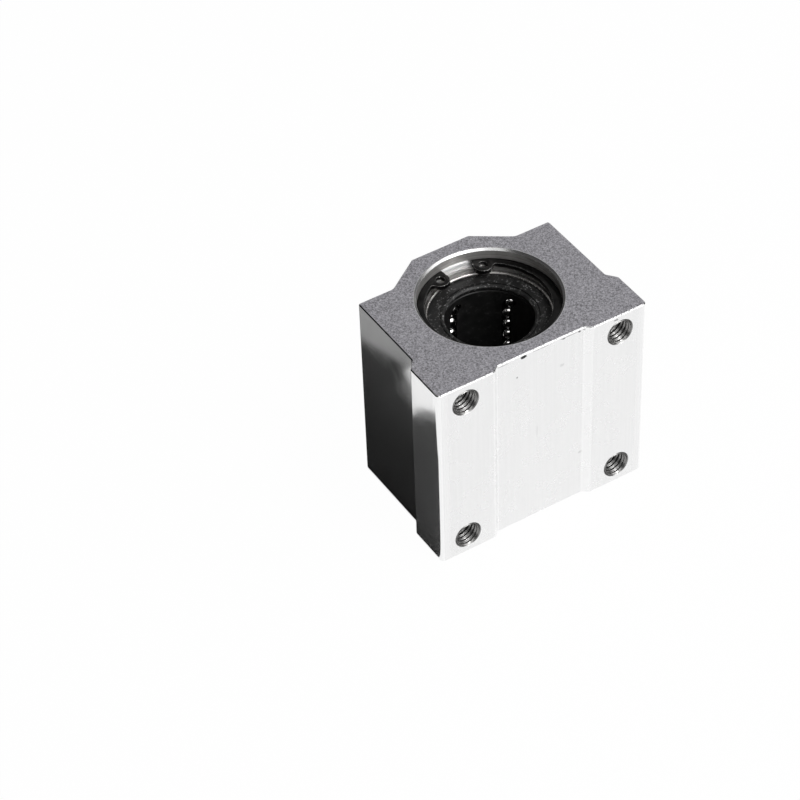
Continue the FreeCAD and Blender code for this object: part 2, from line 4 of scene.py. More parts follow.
import bpy
import bmesh
import numpy as np
from mathutils import Euler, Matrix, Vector


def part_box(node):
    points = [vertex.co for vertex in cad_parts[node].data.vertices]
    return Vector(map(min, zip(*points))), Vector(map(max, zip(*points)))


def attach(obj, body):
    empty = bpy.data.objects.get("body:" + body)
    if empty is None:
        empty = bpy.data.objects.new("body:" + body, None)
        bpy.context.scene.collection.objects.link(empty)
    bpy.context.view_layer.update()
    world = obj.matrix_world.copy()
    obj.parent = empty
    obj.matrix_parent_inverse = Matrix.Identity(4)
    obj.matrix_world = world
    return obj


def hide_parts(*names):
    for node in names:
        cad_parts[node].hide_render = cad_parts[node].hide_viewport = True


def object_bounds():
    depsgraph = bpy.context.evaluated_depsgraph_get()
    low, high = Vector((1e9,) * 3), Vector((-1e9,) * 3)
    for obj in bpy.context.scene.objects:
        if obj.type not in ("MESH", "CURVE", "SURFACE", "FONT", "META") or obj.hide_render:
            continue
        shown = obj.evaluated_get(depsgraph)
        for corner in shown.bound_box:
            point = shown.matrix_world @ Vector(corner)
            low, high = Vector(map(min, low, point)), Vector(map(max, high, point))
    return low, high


# Looks for a linear bearing block: blasted and anodised housing, black retaining rings, a ground
# sleeve with its stop rings and rubber seals, and chrome balls in a black cage.
# The bore axis is Z, the mounting face looks along -Y. Lengths are metres unless a name ends in Mm.
# A pair of numbers named for a fade says where the fade starts and where it ends.

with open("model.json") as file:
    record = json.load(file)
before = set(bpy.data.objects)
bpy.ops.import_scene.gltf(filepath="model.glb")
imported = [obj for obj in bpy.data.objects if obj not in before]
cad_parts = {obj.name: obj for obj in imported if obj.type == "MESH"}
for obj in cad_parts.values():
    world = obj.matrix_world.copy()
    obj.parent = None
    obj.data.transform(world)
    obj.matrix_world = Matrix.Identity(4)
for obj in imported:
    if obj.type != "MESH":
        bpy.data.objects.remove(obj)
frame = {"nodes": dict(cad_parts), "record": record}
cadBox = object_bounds()
nodes = frame["nodes"]
mounts = {mount["name"]: mount for mount in frame["record"]["mounts"]}
millimetre = 0.001
print("frame loaded with", len(nodes), "pieces")


# Small helpers for objects and node trees.

def addObject(name, data):
    item = bpy.data.objects.new(name, data)
    bpy.context.scene.collection.objects.link(item)
    return item


def put(tree, kind, inputs=None, **settings):
    # adds a node, sets it up, and links or sets each named input
    node = tree.nodes.new(kind)
    for name, value in settings.items():
        setattr(node, name, value)
    for name, value in (inputs or {}).items():
        socket = node.inputs[name]
        if isinstance(value, bpy.types.NodeSocket):
            tree.links.new(value, socket)
        else:
            socket.default_value = value
    return node


def calc(tree, operation, *values):
    # one step of arithmetic, giving its result socket
    return put(tree, "ShaderNodeMath", dict(enumerate(values)), operation=operation).outputs[0]


def raised(tree, base, mask, gain):
    # a number with a gain added where the mask is 1
    return calc(tree, "ADD", base, calc(tree, "MULTIPLY", mask, gain))


def weighed(tree, first, second, share):
    # two numbers added up, the first with this share and the second with the rest
    return calc(tree, "ADD", calc(tree, "MULTIPLY", first, share),
                calc(tree, "MULTIPLY", second, 1 - share))


def climb(tree, value, fade, start=0.0, finish=1.0, curve="LINEAR"):
    # start where the value is before the fade, finish where it is past it, and between them inside
    node = put(tree, "ShaderNodeMapRange",
               {"Value": value, "From Min": fade[0], "From Max": fade[1],
                "To Min": start, "To Max": finish}, interpolation_type=curve)
    return node.outputs["Result"]


def axesOf(tree, vector):
    # the X, Y and Z of a vector
    return put(tree, "ShaderNodeSeparateXYZ", {"Vector": vector}).outputs


def axisDistance(tree, first, second):
    # distance of a point from an axis, from its two offsets across it
    squares = calc(tree, "ADD", calc(tree, "MULTIPLY", first, first),
                   calc(tree, "MULTIPLY", second, second))
    return calc(tree, "SQRT", squares)


def noise(tree, vector, settings):
    # soft random patches; the settings are named as the texture's own inputs
    return put(tree, "ShaderNodeTexNoise", {"Vector": vector, **settings}).outputs["Fac"]


def noiseAlong(tree, distance, settings):
    # the same along a line
    return put(tree, "ShaderNodeTexNoise", {"W": distance, **settings},
               noise_dimensions="1D").outputs["Fac"]


def blendColors(tree, share, first, second):
    # the Mix node keeps its two colours in sockets 6 and 7, and their blend in output 2
    mix = put(tree, "ShaderNodeMix", {0: share, 6: first, 7: second}, data_type="RGBA")
    return mix.outputs[2]


def coat(tree, under, mask, layer):
    # lays a layer's colour over another, as much as its share says where the mask is 1
    share = calc(tree, "MULTIPLY", mask, layer["share"])
    return blendColors(tree, share, under, layer["color"])


def grey(level, warmth=0.0):
    # a grey, a little warmer in the red and cooler in the blue for a positive warmth
    return (level * (1 + warmth), level, level * (1 - warmth), 1.0)


def tint(level):
    # the faint violet of the anodised layer where it is milled
    return (level, level * 0.98, level * 1.05, 1.0)


def startGroup(name, inputs, outputs):
    group = bpy.data.node_groups.new(name, "ShaderNodeTree")
    for label, kind, value in inputs:
        socket = group.interface.new_socket(label, in_out="INPUT", socket_type=f"NodeSocket{kind}")
        if value is not None:
            socket.default_value = value
    for label in outputs:
        group.interface.new_socket(label, in_out="OUTPUT", socket_type="NodeSocketFloat")
    start = group.nodes.new("NodeGroupInput")
    end = group.nodes.new("NodeGroupOutput")
    return group, start.outputs, end.inputs


def useGroup(tree, group, inputs):
    return put(tree, "ShaderNodeGroup", inputs, node_tree=group).outputs


# Effects that several materials share.

fineGrain = {
    "coarse": {"Detail": 2.0, "Roughness": 0.6},
    "fine": {"Detail": 1.0, "Roughness": 0.5},
    "finer": 2.3,                  # how many times finer the fine noise is
    "coarseShare": 0.6,
    "toneFade": (0.36, 0.64),
    "sparkleFade": (0.86, 0.94),   # facets whose random number is past this catch the light
}


def makeGrain():
    # fine random grain: two sizes of noise added, and a sparse set of facets that catch the light
    group, given, result = startGroup(
        "fineGrain", [("Vector", "Vector", None), ("Size", "Float", 0.2)],
        ["Tone", "Height", "Sparkle"])
    scale = calc(group, "DIVIDE", 1.0, given["Size"])
    fineScale = calc(group, "MULTIPLY", scale, fineGrain["finer"])
    coarse = noise(group, given["Vector"], {"Scale": scale, **fineGrain["coarse"]})
    fine = noise(group, given["Vector"], {"Scale": fineScale, **fineGrain["fine"]})
    height = weighed(group, coarse, fine, fineGrain["coarseShare"])
    facets = put(group, "ShaderNodeTexVoronoi", {"Vector": given["Vector"], "Scale": scale})
    chance = put(group, "ShaderNodeSeparateColor", {"Color": facets.outputs["Color"]}).outputs
    group.links.new(climb(group, height, fineGrain["toneFade"]), result["Tone"])
    group.links.new(height, result["Height"])
    group.links.new(climb(group, chance["Red"], fineGrain["sparkleFade"]), result["Sparkle"])
    return group


turningMarks = {
    "wander": {"Scale": 0.31, "Detail": 3.0},      # from turn to turn
    "patches": {"Scale": 0.35, "Detail": 1.0},     # from millimetre to millimetre
    "swing": 1.7,                                  # how many turns the phase wanders
    "wanderShare": 0.65,
    "toneFade": (0.35, 0.65),
}


def makeTurning():
    # lathe marks: a sine of the distance over the feed, with depth and phase wandering slowly
    group, given, result = startGroup(
        "turningMarks",
        [("Distance", "Float", 0.0), ("Feed", "Float", 0.2), ("Vector", "Vector", None)],
        ["Tone", "Height"])
    turns = calc(group, "DIVIDE", given["Distance"], given["Feed"])
    wander = noiseAlong(group, turns, turningMarks["wander"])
    patches = noise(group, given["Vector"], turningMarks["patches"])
    phase = raised(group, turns, wander, turningMarks["swing"])
    wave = calc(group, "SINE", calc(group, "MULTIPLY", phase, 2 * math.pi))
    tone = weighed(group, wander, patches, turningMarks["wanderShare"])
    group.links.new(climb(group, tone, turningMarks["toneFade"]), result["Tone"])
    group.links.new(calc(group, "MULTIPLY", wave, wander), result["Height"])
    return group


handlingMarks = {
    "patches": {"Detail": 4.0, "Roughness": 0.55},
    "patchFade": (0.35, 0.65),
    "dentRadius": 0.05,            # of the smallest dent, over the dent size
    "dentSpread": 0.16,            # how much larger the largest one is
}


def makeHandling():
    # soft patches left by hands, oil and dust, and small sparse dents
    group, given, result = startGroup(
        "handlingMarks",
        [("Vector", "Vector", None), ("Size", "Float", 6.0), ("Dent Size", "Float", 1.5),
         ("Dent Share", "Float", 0.05)],
        ["Patches", "Dents"])
    scale = calc(group, "DIVIDE", 1.0, given["Size"])
    patches = noise(group, given["Vector"], {"Scale": scale, **handlingMarks["patches"]})
    dentScale = calc(group, "DIVIDE", 1.0, given["Dent Size"])
    cells = put(group, "ShaderNodeTexVoronoi", {"Vector": given["Vector"], "Scale": dentScale})
    chance = put(group, "ShaderNodeSeparateColor", {"Color": cells.outputs["Color"]}).outputs
    chosen = calc(group, "LESS_THAN", chance["Green"], given["Dent Share"])
    reach = raised(group, handlingMarks["dentRadius"], chance["Blue"], handlingMarks["dentSpread"])
    inside = calc(group, "LESS_THAN", cells.outputs["Distance"], reach)
    group.links.new(climb(group, patches, handlingMarks["patchFade"]), result["Patches"])
    group.links.new(calc(group, "MULTIPLY", chosen, inside), result["Dents"])
    return group


grainGroup = makeGrain()
turningGroup = makeTurning()
handlingGroup = makeHandling()
print("shared effects made")


def startMaterial(name, metallic, roughness):
    # a material with its Principled shader and the object's own coordinates in millimetres
    material = bpy.data.materials.new(name)
    material.use_nodes = True
    tree = material.node_tree
    shader = tree.nodes["Principled BSDF"]
    shader.inputs["Metallic"].default_value = metallic
    shader.inputs["Roughness"].default_value = roughness
    place = put(tree, "ShaderNodeTexCoord").outputs["Object"]
    inMm = put(tree, "ShaderNodeVectorMath", {0: place, "Scale": 1 / millimetre}, operation="SCALE")
    return material, tree, shader, inMm.outputs["Vector"]


def bump(tree, shader, height, distance):
    node = put(tree, "ShaderNodeBump", {"Height": height, "Distance": distance, "Strength": 1.0})
    tree.links.new(node.outputs["Normal"], shader.inputs["Normal"])


def dress(names, material):
    for name in names:
        nodes[name].data.materials.clear()
        nodes[name].data.materials.append(material)


# The housing.

housing = {
    # the two colours between which the pattern of each finish varies
    "extruded": (grey(0.873), grey(0.90)),
    "milled": (tint(1.05), tint(0.24)),
    "turned": (grey(0.378, 0.03), grey(0.648, 0.02)),
    # plain finishes
    "frontBevel": grey(0.42),
    "sideBevel": tint(0.10),
    "boreBevel": grey(0.50),
    "groove": grey(0.85),
    # the holes' dark grey is painted shade inside them
    "hole": grey(0.30, 0.01),
    # layers over them
    "grain": {"color": grey(0.54), "share": 0.05},
    "slope": {"color": grey(0.97), "share": 0.7},      # sides of the recess, brighter where they turn towards X: a painted highlight
    "sparkle": {"color": tint(0.9), "share": 0.5},
    # the light line round the bore is a painted highlight along the rim
    "burr": {"color": grey(0.95), "share": 0.7},       # a line on the end face round the bore
    "chip": {"color": grey(0.08), "share": 0.85},      # dark breaks along the front bevel
    "dent": {"color": grey(0.2), "share": 0.3},
    "spot": {"color": grey(0.04), "share": 1.0},
    # patterns
    "grainSizeMm": 0.34,
    "patchSizeMm": 6.0,
    "dentSizeMm": 1.6,
    "dentShare": 0.02,
    "feedMm": 0.16,
    "streakStretch": (2.4, 2.4, 0.05),                 # drawing marks run along the bore
    "streaks": {"Scale": 1.0, "Detail": 3.0},
    "streakFade": (0.3, 0.7),
    "slopeFade": (0.1, 0.2),                           # how far a slope turns towards X
    "chips": {"Scale": 1.9, "Detail": 4.0, "Roughness": 0.75},
    "chipFade": (0.53, 0.58),
    "ragged": 0.7,                                     # how far a spot's outline wanders
    # how each zone's metallic and roughness differ from the plain ones
    "metallic": 0.9,
    "moreMetallic": {"bore": -0.25, "wall": 0.08},
    "roughness": 0.26,
    "rougher": {"patches": 0.04, "end": 0.14, "side": -0.18, "polished": 0.02, "boreBevel": -0.06},
    "relief": 0.00009,
    "turningRelief": 0.15,                             # as a share of the grain's
    # where the zones lie
    "bevelMm": 0.25,
    "boreBevelMm": 0.5,
    "boreReachMm": 16.9,
    "burrReachMm": 16.66,
    "holeReachMm": 3.45,
    "frontMm": -19.0,              # the mounting face and its bevels lie beyond this Y
    "sideMm": 24.7,                # the side walls lie beyond this X
    "flangeMm": 26.0,              # and the edges of the flanges beyond this one
    "slackMm": 0.01,               # keeps the border of a zone off the face it ends at
    "fadeMm": 0.02,
    "grooveSlackMm": 0.05,
    # marks on the mounting face: X, Z, half width along X, half height along Z, darkness
    "spotsMm": [(-4.4, 24.15, 0.8, 0.42, 1.0), (-6.1, 19.1, 0.22, 0.22, 0.6),
                (5.5, 16.8, 0.6, 0.4, 0.16), (10.7, -12.0, 0.5, 0.3, 0.2),
                (-0.9, 0.5, 0.3, 1.6, 0.08), (5.9, 24.25, 0.5, 0.22, 0.7),
                (10.0, 24.25, 0.35, 0.26, 0.8), (11.2, 24.3, 0.3, 0.2, 0.5),
                (18.8, 24.05, 0.55, 0.24, 0.6), (0.2, 24.4, 2.2, 0.11, 0.4),
                (7.8, 24.35, 2.4, 0.12, 0.45), (-9.6, 24.3, 1.7, 0.12, 0.35)],
}


def housingZones(tree, at):
    # where each finish lies: 1 inside its zone and 0 outside
    low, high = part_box("housing_block")
    endMm = high.z / millimetre
    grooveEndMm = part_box("upper_retaining_ring")[1].z / millimetre + housing["grooveSlackMm"]
    holes = mounts["tapped_holes"]["dims"]
    slack, fade = housing["slackMm"], housing["fadeMm"]
    beside, along = calc(tree, "ABSOLUTE", at["X"]), calc(tree, "ABSOLUTE", at["Z"])
    radius = axisDistance(tree, at["X"], at["Y"])
    end = climb(tree, along, (endMm - slack - fade, endMm - slack))
    notEnd = calc(tree, "SUBTRACT", 1.0, end)
    inBore = calc(tree, "MULTIPLY", notEnd,
                  calc(tree, "LESS_THAN", radius, housing["boreReachMm"]))
    mouthMm = endMm - housing["boreBevelMm"]
    boreBevel = calc(tree, "MULTIPLY", inBore, climb(tree, along, (mouthMm, mouthMm + fade)))
    bore = calc(tree, "SUBTRACT", inBore, boreBevel)
    bevelStartMm = endMm - housing["bevelMm"] + slack
    outerBevel = calc(tree, "MULTIPLY", calc(tree, "SUBTRACT", notEnd, inBore),
                      climb(tree, along, (bevelStartMm, bevelStartMm + fade)))
    front = calc(tree, "LESS_THAN", at["Y"], housing["frontMm"])
    frontBevel = calc(tree, "MULTIPLY", outerBevel, front)
    side = calc(tree, "MULTIPLY", notEnd, calc(tree, "GREATER_THAN", beside, housing["sideMm"]))
    fromHole = axisDistance(tree, calc(tree, "SUBTRACT", beside, holes["spacing_x_mm"] / 2),
                            calc(tree, "SUBTRACT", along, holes["spacing_y_mm"] / 2))
    # only what lies above the mounting face belongs to a hole
    inHole = calc(tree, "MULTIPLY", calc(tree, "LESS_THAN", fromHole, housing["holeReachMm"]),
                  calc(tree, "GREATER_THAN", at["Y"], low.y / millimetre + slack))
    return {
        "end": end, "front": front, "side": side, "bore": bore, "boreBevel": boreBevel,
        "frontBevel": frontBevel, "sideBevel": calc(tree, "SUBTRACT", outerBevel, frontBevel),
        "burr": calc(tree, "LESS_THAN", radius, housing["burrReachMm"]),
        "groove": calc(tree, "MULTIPLY", bore, calc(tree, "LESS_THAN", along, grooveEndMm)),
        "hole": inHole,
        "wall": calc(tree, "MULTIPLY", side, calc(tree, "LESS_THAN", beside, housing["flangeMm"])),
        "polished": calc(tree, "MAXIMUM", outerBevel, calc(tree, "MAXIMUM", inBore, inHole)),
    }


def extrudedColor(tree, place, grain, front):
    # drawn along the bore, with a trace of grain, and a little brighter on the recess's slopes as a
    # painted highlight
    drawn = put(tree, "ShaderNodeMapping", {"Vector": place, "Scale": housing["streakStretch"]})
    streaks = noise(tree, drawn.outputs["Vector"], housing["streaks"])
    color = blendColors(tree, climb(tree, streaks, housing["streakFade"]), *housing["extruded"])
    color = coat(tree, color, grain["Tone"], housing["grain"])
    # the slopes' extra brightness is a painted highlight
    facing = axesOf(tree, put(tree, "ShaderNodeTexCoord").outputs["Normal"])["X"]
    turned = climb(tree, calc(tree, "ABSOLUTE", facing), housing["slopeFade"])
    return coat(tree, color, calc(tree, "MULTIPLY", front, turned), housing["slope"])


def inSpot(tree, at, ragged, spot):
    # darkness inside an oval on the mounting face whose outline wanders with the grain
    acrossMm, alongMm, halfWidthMm, halfHeightMm, darkness = spot
    aside = calc(tree, "DIVIDE", calc(tree, "SUBTRACT", at["X"], acrossMm), halfWidthMm)
    above = calc(tree, "DIVIDE", calc(tree, "SUBTRACT", at["Z"], alongMm), halfHeightMm)
    reach = calc(tree, "ADD", axisDistance(tree, aside, above), ragged)
    return calc(tree, "MULTIPLY", calc(tree, "LESS_THAN", reach, 1.0), darkness)


def spotted(tree, at, grain, front):
    # all the marks on the mounting face together
    ragged = calc(tree, "MULTIPLY", calc(tree, "SUBTRACT", grain["Tone"], 0.5), housing["ragged"])
    darkest = 0.0
    for spot in housing["spotsMm"]:
        darkest = calc(tree, "MAXIMUM", darkest, inSpot(tree, at, ragged, spot))
    return calc(tree, "MULTIPLY", darkest, front)


def makeHousingFinish():
    material, tree, shader, place = startMaterial("anodisedHousing", housing["metallic"],
                                                  housing["roughness"])
    at = axesOf(tree, place)
    zones = housingZones(tree, at)
    grain = useGroup(tree, grainGroup, {"Vector": place, "Size": housing["grainSizeMm"]})
    marks = useGroup(tree, handlingGroup,
                     {"Vector": place, "Size": housing["patchSizeMm"],
                      "Dent Size": housing["dentSizeMm"], "Dent Share": housing["dentShare"]})
    turning = useGroup(tree, turningGroup,
                       {"Distance": at["Z"], "Feed": housing["feedMm"], "Vector": place})
    # the long faces are drawn and the end faces milled and blasted
    milled = blendColors(tree, grain["Tone"], *housing["milled"])
    milled = coat(tree, milled, grain["Sparkle"], housing["sparkle"])
    # a painted highlight: a light line on the end face round the bore's rim
    milled = coat(tree, milled, zones["burr"], housing["burr"])
    color = blendColors(tree, zones["end"], extrudedColor(tree, place, grain, zones["front"]),
                        milled)
    # the bevel above the mounting face is bright, with dark breaks along it
    bevelBroken = climb(tree, noiseAlong(tree, at["X"], housing["chips"]), housing["chipFade"])
    bevelled = coat(tree, housing["frontBevel"], bevelBroken, housing["chip"])
    turned = blendColors(tree, turning["Tone"], *housing["turned"])
    for zone, paint in (("frontBevel", bevelled), ("sideBevel", housing["sideBevel"]),
                        ("boreBevel", housing["boreBevel"]), ("bore", turned),
                        ("groove", housing["groove"]), ("hole", housing["hole"])):
        color = blendColors(tree, zones[zone], color, paint)
    # sparse dents everywhere, and the marks that the mounting face has picked up
    color = coat(tree, color, marks["Dents"], housing["dent"])
    color = coat(tree, color, spotted(tree, at, grain, zones["front"]), housing["spot"])
    tree.links.new(color, shader.inputs["Base Color"])
    metal = housing["metallic"]
    for zone, gain in housing["moreMetallic"].items():
        metal = raised(tree, metal, zones[zone], gain)
    tree.links.new(metal, shader.inputs["Metallic"])
    # rougher where it was milled, smoother on the sides, the bevels and in the bore
    zones["patches"] = marks["Patches"]
    rough = housing["roughness"]
    for zone, gain in housing["rougher"].items():
        rough = raised(tree, rough, zones[zone], gain)
    tree.links.new(rough, shader.inputs["Roughness"])
    relief = raised(tree, calc(tree, "MULTIPLY", grain["Height"], zones["end"]),
                    calc(tree, "MULTIPLY", turning["Height"], zones["bore"]),
                    housing["turningRelief"])
    bump(tree, shader, relief, housing["relief"])
    return material


dress(["housing_block"], makeHousingFinish())
print("housing finished")


# Screw threads in the mouths of the four fixing holes.

thread = {
    "depth": 0.012,
    "pitch": 0.001,
    "rootFlat": 0.125,        # shares of half a pitch: the root flat and the flank
    "flank": 0.625,
    "wallGap": 0.00004,       # keeps the roots just inside the drilled wall
    "leadIn": 0.0006,         # the first turn fades in over this length
    "around": 48,
    "perTurn": 14,
    # both greys are darkened as painted shade inside the holes
    "cut": (grey(0.30, 0.01), grey(0.18, 0.02)),
    "metallic": 0.9,
    "roughness": 0.26,
    "grainSizeMm": 0.3,
    "relief": 0.00003,
}


def makeThread(name, centre):
    # Grid of angle by depth. Radius = root - height * profile, where the profile climbs from a
    # root flat to a crest flat and back once a pitch, and its phase runs once round each turn.
    root = mounts["tapped_holes"]["dims"]["hole_r_mm"] * millimetre - thread["wallGap"]
    crest = mounts["through_holes"]["dims"]["hole_r_mm"] * millimetre
    rows = int(thread["depth"] / thread["pitch"] * thread["perTurn"]) + 1
    angle = np.arange(thread["around"]) * 2 * np.pi / thread["around"]
    depth = np.linspace(0, thread["depth"], rows)
    depths, angles = np.meshgrid(depth, angle, indexing="ij")
    phase = (depths / thread["pitch"] + angles / (2 * np.pi)) % 1.0
    toCrest = 1 - np.abs(2 * phase - 1)
    profile = np.clip((toCrest - thread["rootFlat"]) / thread["flank"], 0, 1)
    fade = np.clip(depths / thread["leadIn"], 0, 1)
    inner = root - (root - crest) * profile * fade
    outer = np.full((2, thread["around"]), root + thread["wallGap"] / 2)
    radii = np.vstack([inner, outer])
    depths = np.vstack([depths, np.full((1, thread["around"]), depth[-1]),
                        np.zeros((1, thread["around"]))])
    angles = np.vstack([angles, angles[:2]])
    # the mouth looks along -Y, so X then -Z turns the right-hand way about it
    points = np.stack([centre[0] + radii * np.cos(angles), centre[1] + depths,
                       centre[2] + radii * -np.sin(angles)], axis=-1).reshape(-1, 3)
    return meshFromRings(name, points, rows + 2, thread["around"])


def meshFromRings(name, points, rings, around):
    # joins neighbouring rings of points with quads, and the last ring back to the first
    ring = np.arange(rings)[:, None]
    step = np.arange(around)[None, :]
    here = ring * around + step
    beside = ring * around + (step + 1) % around
    nextHere = (ring + 1) % rings * around + step
    nextBeside = (ring + 1) % rings * around + (step + 1) % around
    faces = np.stack([here, beside, nextBeside, nextHere], axis=-1).reshape(-1, 4)
    mesh = bpy.data.meshes.new(name)
    mesh.vertices.add(len(points))
    mesh.vertices.foreach_set("co", points.astype(np.float32).ravel())
    mesh.loops.add(faces.size)
    mesh.loops.foreach_set("vertex_index", faces.astype(np.int32).ravel())
    mesh.polygons.add(len(faces))
    mesh.polygons.foreach_set("loop_start", np.arange(0, faces.size, 4, dtype=np.int32))
    mesh.update(calc_edges=True)
    mesh.validate()
    faceOutwards(mesh)
    return addObject(name, mesh)


def faceOutwards(mesh):
    shell = bmesh.new()
    shell.from_mesh(mesh)
    bmesh.ops.recalc_face_normals(shell, faces=shell.faces)
    shell.to_mesh(mesh)
    shell.free()


def makeThreadFinish():
    material, tree, shader, place = startMaterial("cutAluminium", thread["metallic"],
                                                  thread["roughness"])
    grain = useGroup(tree, grainGroup, {"Vector": place, "Size": thread["grainSizeMm"]})
    color = blendColors(tree, grain["Tone"], *thread["cut"])
    tree.links.new(color, shader.inputs["Base Color"])
    bump(tree, shader, grain["Height"], thread["relief"])
    return material


threadFinish = makeThreadFinish()
tapped = mounts["tapped_holes"]
middle = tapped["pos_m"]
halfX = tapped["dims"]["spacing_x_mm"] * millimetre / 2
halfZ = tapped["dims"]["spacing_y_mm"] * millimetre / 2
for sideX, nameX in ((-1, "left"), (1, "right")):
    for sideZ, nameZ in ((1, "upper"), (-1, "lower")):
        mouth = (middle[0] + sideX * halfX, middle[1], middle[2] + sideZ * halfZ)
        piece = makeThread(f"{nameZ}_{nameX}_thread", mouth)
        piece.data.materials.append(threadFinish)
        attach(piece, "block")
print("threads cut")


# The retaining rings, with the soft edges that stamping leaves.

retainingRing = {
    "edge": 0.00018,
    "edgeSteps": 2,
    "sharpest": 35.0,              # degrees: edges where the faces turn by more are rounded
    "blacked": (grey(0.014), grey(0.032, 0.03)),
    "dent": {"color": grey(0.35, 0.02), "share": 0.5},
    "wear": {"color": grey(0.5, 0.02), "share": 0.8},
    "grainSizeMm": 0.18,
    "patchSizeMm": 2.5,
    "dentSizeMm": 0.9,
    "dentShare": 0.04,
    "metallic": 0.9,
    "roughness": 0.18,
    "grainRoughness": 0.10,
    "relief": 0.00002,
}
softening = {
    "doubles": 1e-7,               # points nearer than this are one
    "flat": 0.5,                   # degrees: faces that turn less than this are one
    "offSideFade": (0.15, 0.3),    # how far a rounded edge has turned away from the ring's side
    "onFlatFade": (0.9, 0.97),     # and how nearly a point looks along the bore, on the flats
}


def softenedCopy(name, source, settings):
    # a copy of a plain solid with its doubles merged, its flats whole and its sharp edges rounded
    shell = bmesh.new()
    shell.from_mesh(nodes[source].data)
    bmesh.ops.remove_doubles(shell, verts=shell.verts, dist=softening["doubles"])
    bmesh.ops.dissolve_limit(shell, angle_limit=math.radians(softening["flat"]),
                             verts=shell.verts, edges=shell.edges)
    mesh = bpy.data.meshes.new(name)
    shell.to_mesh(mesh)
    shell.free()
    piece = addObject(name, mesh)
    for face in mesh.polygons:
        face.use_smooth = True
    soften = piece.modifiers.new("softEdges", "BEVEL")
    soften.width = settings["edge"]
    soften.segments = settings["edgeSteps"]
    soften.limit_method = "ANGLE"
    soften.angle_limit = math.radians(settings["sharpest"])
    soften.harden_normals = True
    return piece


def roundedEdges(tree):
    # 1 on the rounded edges of a flat ring: only they look neither along the axis nor across it
    facing = axesOf(tree, put(tree, "ShaderNodeTexCoord").outputs["Normal"])
    upright = calc(tree, "ABSOLUTE", facing["Z"])
    return calc(tree, "MULTIPLY", climb(tree, upright, softening["offSideFade"]),
                calc(tree, "SUBTRACT", 1.0, climb(tree, upright, softening["onFlatFade"])))


def makeRingFinish():
    material, tree, shader, place = startMaterial("blackedSpringSteel", retainingRing["metallic"],
                                                  retainingRing["roughness"])
    grain = useGroup(tree, grainGroup, {"Vector": place, "Size": retainingRing["grainSizeMm"]})
    marks = useGroup(tree, handlingGroup,
                     {"Vector": place, "Size": retainingRing["patchSizeMm"],
                      "Dent Size": retainingRing["dentSizeMm"],
                      "Dent Share": retainingRing["dentShare"]})
    color = blendColors(tree, marks["Patches"], *retainingRing["blacked"])
    color = coat(tree, color, marks["Dents"], retainingRing["dent"])
    color = coat(tree, color, roundedEdges(tree), retainingRing["wear"])
    tree.links.new(color, shader.inputs["Base Color"])
    rough = raised(tree, retainingRing["roughness"], grain["Tone"], retainingRing["grainRoughness"])
    tree.links.new(rough, shader.inputs["Roughness"])
    bump(tree, shader, grain["Height"], retainingRing["relief"])
    return material


ringFinish = makeRingFinish()
for name in ("upper_retaining_ring", "lower_retaining_ring"):
    ring = softenedCopy(name.replace("_ring", "_clip"), name, retainingRing)
    ring.data.materials.append(ringFinish)
    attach(ring, "block")
    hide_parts(name)
print("retaining rings rounded")


# The bearing's steel: the sleeve and its stop rings.

sleeve = {"grey": 0.82, "edgeGrey": 0.82, "warmth": 0.01, "roughness": 0.26}
stopRing = {
    "edge": 0.00038,
    "edgeSteps": 3,
    "sharpest": 35.0,
    # the flats' dark grey is partly an oil film and partly painted shade
    "grey": 0.22,
    "edgeGrey": 0.85,
    "warmth": 0.03,
    "roughness": 0.24,
}
turnedSteel = {
    "metallic": 1.0,
    "markShade": 0.82,             # the dark turning marks, over the steel's grey
    "oilShade": 0.6,               # the same for patches of oil
    "oilWarmth": 1.5,              # over the steel's warmth
    "oilShare": 0.25,
    "oilRoughness": 0.08,
    "patchSizeMm": 3.0,
    "feedMm": 0.07,
    "relief": 0.000006,
}


def makeTurnedSteel(name, steel):
    # ground or sprung steel, with marks that run round the bore axis
    material, tree, shader, place = startMaterial(name, turnedSteel["metallic"],
                                                  steel["roughness"])
    at = axesOf(tree, place)
    reach = calc(tree, "ADD", axisDistance(tree, at["X"], at["Y"]), at["Z"])
    turning = useGroup(tree, turningGroup,
                       {"Distance": reach, "Feed": turnedSteel["feedMm"], "Vector": place})
    marks = useGroup(tree, handlingGroup, {"Vector": place, "Size": turnedSteel["patchSizeMm"]})
    level, warmth = steel["grey"], steel["warmth"]
    oiled = {"color": grey(level * turnedSteel["oilShade"], warmth * turnedSteel["oilWarmth"]),
             "share": turnedSteel["oilShare"]}
    color = blendColors(tree, turning["Tone"], grey(level * turnedSteel["markShade"], warmth),
                        grey(level, warmth))
    color = coat(tree, color, marks["Patches"], oiled)
    color = blendColors(tree, roundedEdges(tree), color, grey(steel["edgeGrey"], warmth))
    tree.links.new(color, shader.inputs["Base Color"])
    rough = raised(tree, steel["roughness"], marks["Patches"], turnedSteel["oilRoughness"])
    tree.links.new(rough, shader.inputs["Roughness"])
    bump(tree, shader, turning["Height"], turnedSteel["relief"])
    return material


dress(["bearing_sleeve"], makeTurnedSteel("groundSteel", sleeve))
stopRingFinish = makeTurnedSteel("stopRingSteel", stopRing)
for name in ("upper_stop_ring", "lower_stop_ring"):
    ring = softenedCopy(name.replace("_ring", "_clip"), name, stopRing)
    ring.data.materials.append(stopRingFinish)
    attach(ring, "block")
    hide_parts(name)
print("sleeve and stop rings finished")


# The seals, the cage and the balls.

